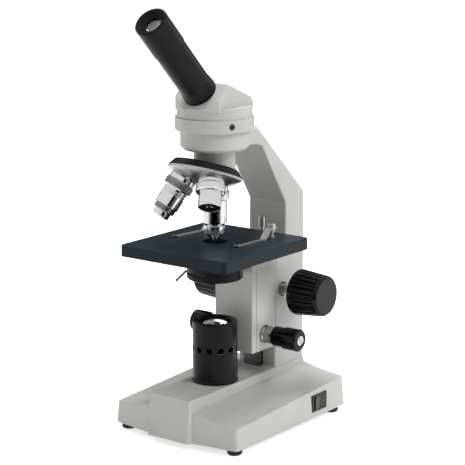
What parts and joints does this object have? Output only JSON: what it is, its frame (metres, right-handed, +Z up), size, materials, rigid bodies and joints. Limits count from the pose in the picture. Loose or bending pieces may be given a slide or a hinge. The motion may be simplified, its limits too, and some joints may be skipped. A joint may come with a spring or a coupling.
{
  "type": "monocular microscope",
  "caption": "Upright school microscope: inclined eyepiece, triple turret, plain stage with clips, iris condenser, coarse and fine focus, lamp in the base.",
  "frame": {"origin": "centre of the bounding box in plan, at the bottom of the rubber feet", "axes": "+Z up, -Y towards the user and the eyepiece, +X to the right with the switch"},
  "size_m": [0.1324, 0.1997, 0.3607],
  "materials": {
    "stand_paint": "satin warm grey paint",
    "black_paint": "satin black paint",
    "stage_paint": "semi-gloss black paint",
    "cover_plate": "matt dark plate",
    "chrome": "bright chrome plate",
    "steel": "machined steel",
    "dark_steel": "blackened steel",
    "brass": "machined brass",
    "rubber": "moulded rubber",
    "knob_black": "glossy moulded plastic",
    "eyepiece_black": "matt black",
    "switch_black": "satin moulded plastic",
    "socket_white": "ceramic white",
    "optical_glass": "polished glass"
  },
  "bodies": {
    "stand": {"base_casting": "stand_paint", "base_cover": "cover_plate", "cover_screws": "steel", "rubber_feet": "rubber", "lamp_housing": "black_paint", "lamp_lens": "optical_glass", "lamp_socket": "socket_white", "lamp_bulb": "optical_glass", "switch_housing": "switch_black", "cable_gland": "eyepiece_black", "arm_casting": "stand_paint", "arm_bolts": "steel", "guide_rail": "dark_steel", "coarse_bushes": "chrome", "nosepiece_axle": "steel", "click_spring": "steel"},
    "limit_screw": {"stop_screw": "chrome"},
    "switch": {"switch_rocker": "switch_black"},
    "head": {"head_casting": "stand_paint", "head_prism": "optical_glass", "head_screw": "dark_steel", "eyepiece_tube": "black_paint"},
    "eyepiece": {"eyepiece_barrel": "eyepiece_black", "eye_lens": "optical_glass", "field_lens": "optical_glass"},
    "nosepiece": {"nosepiece_rim": "black_paint", "nosepiece_shell": "chrome", "objective_low": "chrome", "objective_low_lens": "optical_glass", "objective_mid": "chrome", "objective_mid_lens": "optical_glass", "objective_high": "chrome", "high_nose_spring": "steel"},
    "sprung_nose": {"high_nose": "chrome"},
    "focus": {"focus_block": "stand_paint", "focus_rack": "brass", "fine_bushes": "chrome"},
    "coarse_drive": {"coarse_shaft": "steel", "coarse_knob_right": "knob_black", "coarse_knob_left": "knob_black", "coarse_knob_caps": "eyepiece_black"},
    "fine_drive": {"fine_shaft": "steel", "fine_knob_right": "knob_black", "fine_knob_left": "knob_black", "fine_knob_screws": "chrome"},
    "wedge": {"fine_wedge": "brass"},
    "stage": {"carrier_plate": "stand_paint", "stage_plate": "stage_paint", "stage_screws": "steel", "condenser_housing": "black_paint", "condenser_lens": "optical_glass", "iris_base": "black_paint"},
    "iris_ring": {"iris_lever": "dark_steel"},
    "clip_arm_right": {"clip_right": "chrome"},
    "clip_arm_left": {"clip_left": "chrome"},
    "leaf_1": {"iris_leaf_1": "dark_steel"},
    "leaf_2": {"iris_leaf_2": "dark_steel"},
    "leaf_3": {"iris_leaf_3": "dark_steel"},
    "leaf_4": {"iris_leaf_4": "dark_steel"},
    "leaf_5": {"iris_leaf_5": "dark_steel"}
  },
  "joints": [
    {"name": "head_swivel", "type": "hinge", "parent": "stand", "child": "head", "pos_m": [0, -0.00913, 0.257], "axis": [0, 0, 1], "continuous": true},
    {"name": "eyepiece_pull", "type": "slide", "parent": "head", "child": "eyepiece", "axis": [0, -0.7071, 0.7071], "range_m": [0, 0.035]},
    {"name": "nosepiece_turn", "type": "hinge", "parent": "stand", "child": "nosepiece", "pos_m": [0, -0.00913, 0.2577], "axis": [0, -0.342, -0.9397], "continuous": true},
    {"name": "sprung_nose_push", "type": "slide", "parent": "nosepiece", "child": "sprung_nose", "axis": [0, 0, 1], "range_m": [0, 0.0016], "stiffness_N_per_m": 250, "springref_m": -0.004, "deforming": ["high_nose_spring"]},
    {"name": "coarse_focus", "type": "slide", "parent": "stand", "child": "focus", "axis": [0, 0, 1], "range_m": [-0.016, 0.0006]},
    {"name": "coarse_knob_turn", "type": "hinge", "parent": "stand", "child": "coarse_drive", "pos_m": [0, 0.06097, 0.11], "axis": [1, 0, 0], "range_deg": [-7.5, 191.5]},
    {"name": "fine_knob_turn", "type": "hinge", "parent": "focus", "child": "fine_drive", "pos_m": [0, 0.03557, 0.075], "axis": [1, 0, 0], "range_deg": [-1621, 1621]},
    {"name": "fine_focus", "type": "slide", "parent": "focus", "child": "stage", "axis": [0, 0, 1], "range_m": [-0.0009, 0.0009]},
    {"name": "fine_wedge_slide", "type": "slide", "parent": "focus", "child": "wedge", "axis": [1, 0, 0], "range_m": [-0.00455, 0.00455]},
    {"name": "iris_lever_turn", "type": "hinge", "parent": "stage", "child": "iris_ring", "pos_m": [0, -0.00913, 0.136], "axis": [0, 0, 1], "range_deg": [0, 67.3]},
    {"name": "clip_right_turn", "type": "hinge", "parent": "stage", "child": "clip_arm_right", "pos_m": [0.031, 0.02887, 0.17], "axis": [0, 0, 1], "range_deg": [-15, 60]},
    {"name": "clip_left_turn", "type": "hinge", "parent": "stage", "child": "clip_arm_left", "pos_m": [-0.031, 0.02887, 0.17], "axis": [0, 0, 1], "range_deg": [-60, 15]},
    {"name": "switch_rock", "type": "hinge", "parent": "stand", "child": "switch", "pos_m": [0.0614, 0.05437, 0.0176], "axis": [0, 0, 1], "range_deg": [-7, 0]},
    {"name": "limit_screw_turn", "type": "hinge", "parent": "stand", "child": "limit_screw", "pos_m": [0, 0.05807, 0.165], "axis": [0, 0, 1], "range_deg": [-360, 360]},
    {"name": "leaf_1_turn", "type": "hinge", "parent": "stage", "child": "leaf_1", "pos_m": [0.017, -0.00913, 0.134], "axis": [0, 0, 1], "range_deg": [0, 34.1]},
    {"name": "leaf_2_turn", "type": "hinge", "parent": "stage", "child": "leaf_2", "pos_m": [0.00525, 0.00704, 0.134], "axis": [0, 0, 1], "range_deg": [0, 34.1]},
    {"name": "leaf_3_turn", "type": "hinge", "parent": "stage", "child": "leaf_3", "pos_m": [-0.01375, 0.00086, 0.134], "axis": [0, 0, 1], "range_deg": [0, 34.1]},
    {"name": "leaf_4_turn", "type": "hinge", "parent": "stage", "child": "leaf_4", "pos_m": [-0.01375, -0.01912, 0.134], "axis": [0, 0, 1], "range_deg": [0, 34.1]},
    {"name": "leaf_5_turn", "type": "hinge", "parent": "stage", "child": "leaf_5", "pos_m": [0.00525, -0.0253, 0.134], "axis": [0, 0, 1], "range_deg": [0, 34.1]}
  ],
  "couplings": [
    {"joint": "coarse_knob_turn", "follows": "coarse_focus", "rad_per_m": -208.33},
    {"joint": "fine_knob_turn", "follows": "fine_focus", "rad_per_m": 31416},
    {"joint": "fine_wedge_slide", "follows": "fine_focus", "ratio": -5},
    {"joint": "leaf_1_turn", "follows": "iris_lever_turn", "ratio": 0.5052},
    {"joint": "leaf_2_turn", "follows": "iris_lever_turn", "ratio": 0.5052},
    {"joint": "leaf_3_turn", "follows": "iris_lever_turn", "ratio": 0.5052},
    {"joint": "leaf_4_turn", "follows": "iris_lever_turn", "ratio": 0.5052},
    {"joint": "leaf_5_turn", "follows": "iris_lever_turn", "ratio": 0.5052}
  ]
}
